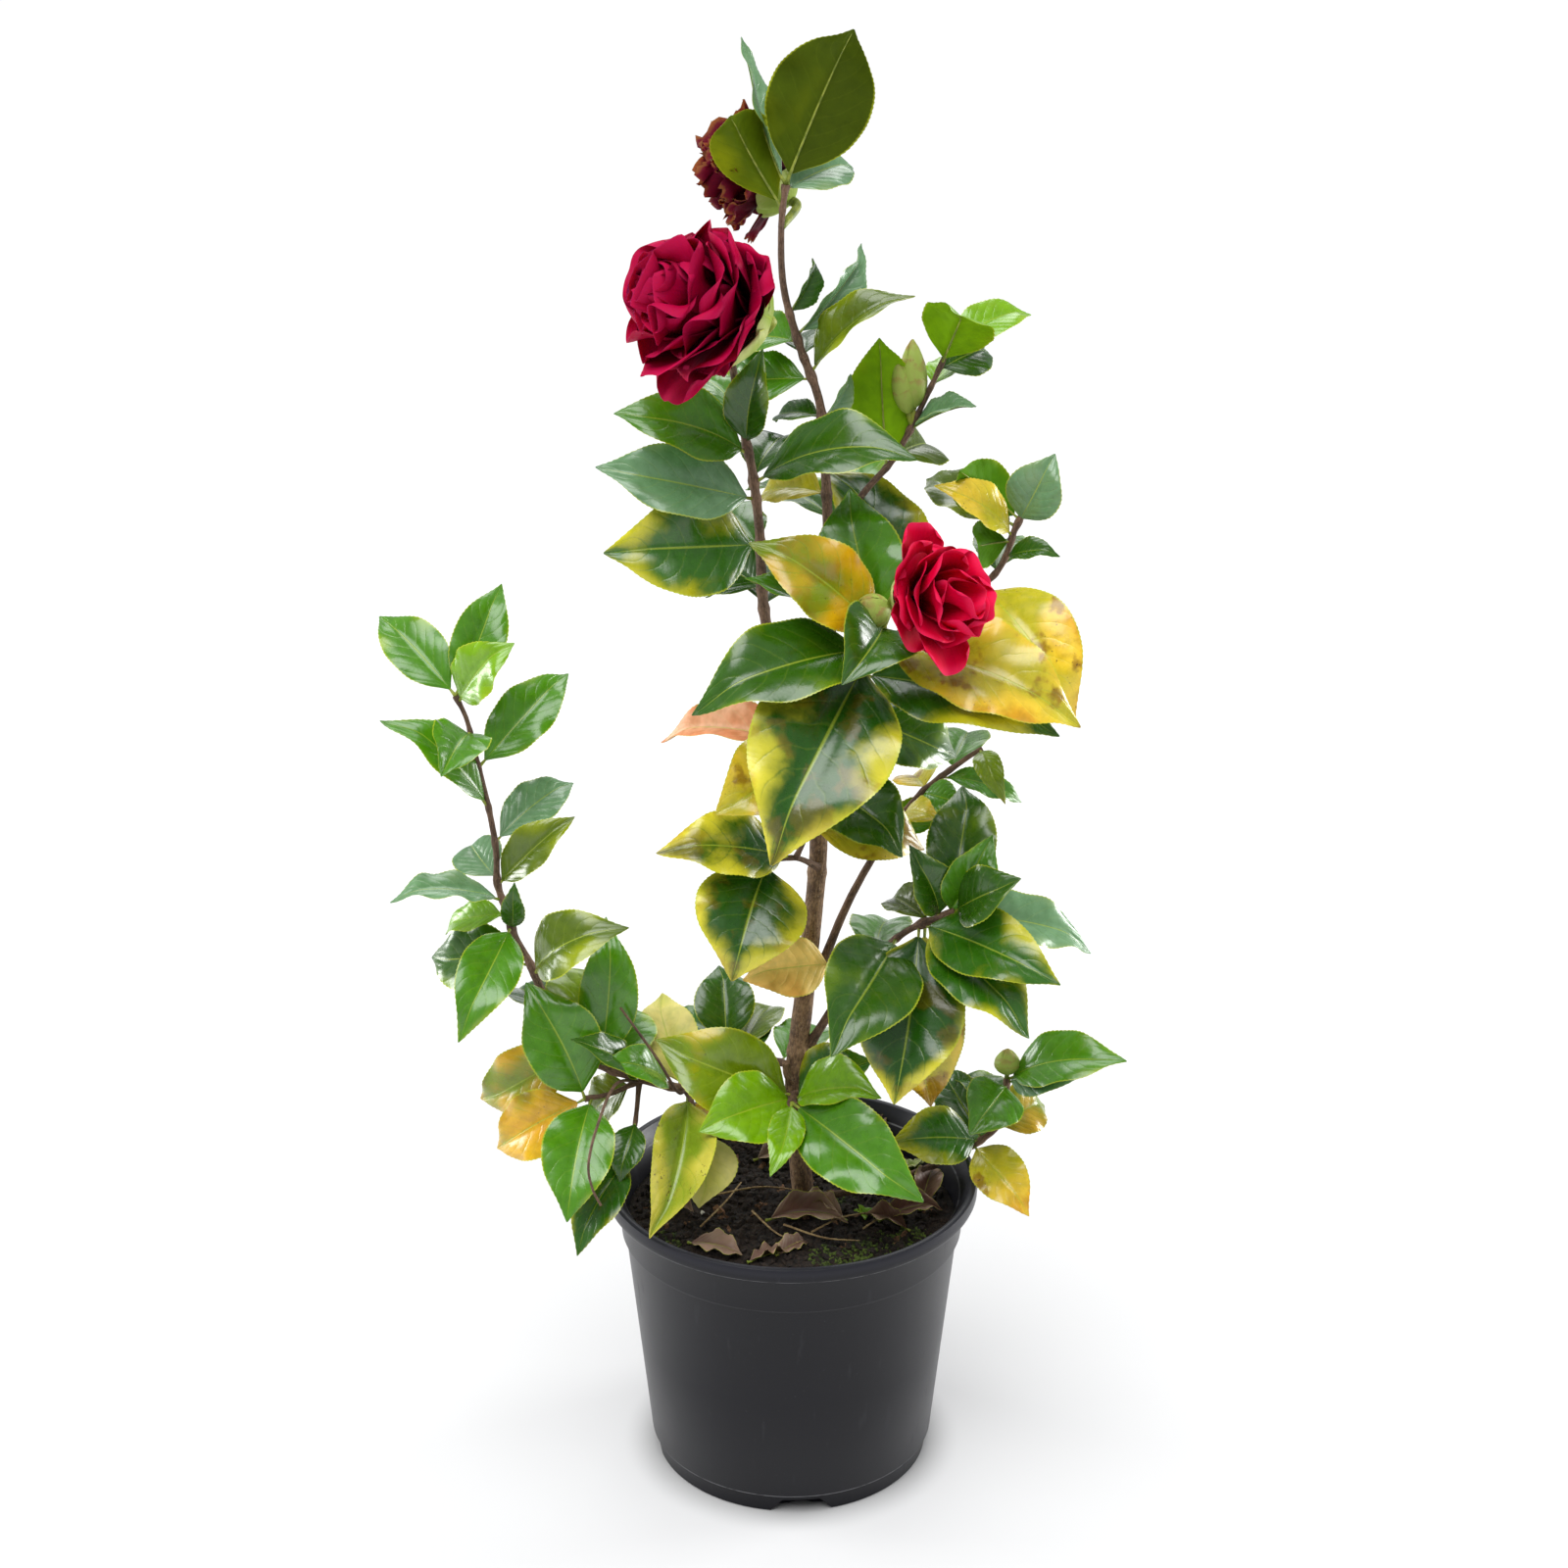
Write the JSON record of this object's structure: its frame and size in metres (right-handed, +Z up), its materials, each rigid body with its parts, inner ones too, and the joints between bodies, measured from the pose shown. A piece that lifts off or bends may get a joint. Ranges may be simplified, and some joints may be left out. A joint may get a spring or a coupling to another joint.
{
  "type": "potted camellia shrub",
  "caption": "Young camellia shrub with crimson double blooms, glossy green and yellowing leaves, standing in its round black nursery pot.",
  "frame": {"origin": "centre of the pot's flat underside, on the surface that the pot stands on", "axes": "+Z up along the pot's axis and the main stem, -Y towards the side with the blooms, +X to the right as seen from that side"},
  "size_m": [0.3652, 0.2529, 0.7247],
  "materials": {
    "pot_plastic": "moulded black plastic with a soft satin surface, lightly scuffed",
    "potting_compost": "damp dark peat compost with bark chips, dry leaves and a little moss",
    "bark": "smooth grey-brown bark with fine cracks and leaf scars",
    "foliage": "glossy leathery leaves, dark green to mottled yellow, paler and matte beneath",
    "crimson_petals": "soft velvety crimson petals with ruffled edges",
    "spent_petals": "dry crinkled maroon petals with tan edges"
  },
  "bodies": {
    "root": {"nursery_pot": "pot_plastic", "potting_soil": "potting_compost", "main_stem": "bark", "upper_right_bough": "bark", "upper_left_bough": "bark", "bud_shoot_bough": "bark", "side_shoot_bough": "bark", "front_bough": "bark", "lower_right_bough": "bark", "middle_right_bough": "bark", "low_right_branch": "bark", "left_bough": "bark", "top_foliage": "foliage", "upper_left_foliage": "foliage", "bud_shoot_foliage": "foliage", "side_shoot_foliage": "foliage", "front_foliage": "foliage", "back_foliage": "foliage", "lower_right_foliage": "foliage", "middle_right_foliage": "foliage", "low_right_foliage": "foliage", "collar_foliage": "foliage", "stem_spur_foliage": "foliage", "front_low_foliage": "foliage", "back_low_foliage": "foliage", "low_left_foliage": "foliage", "left_shoot_foliage": "foliage", "large_bloom": "crimson_petals", "small_bloom": "crimson_petals", "spent_bloom": "spent_petals"}
  },
  "joints": []
}
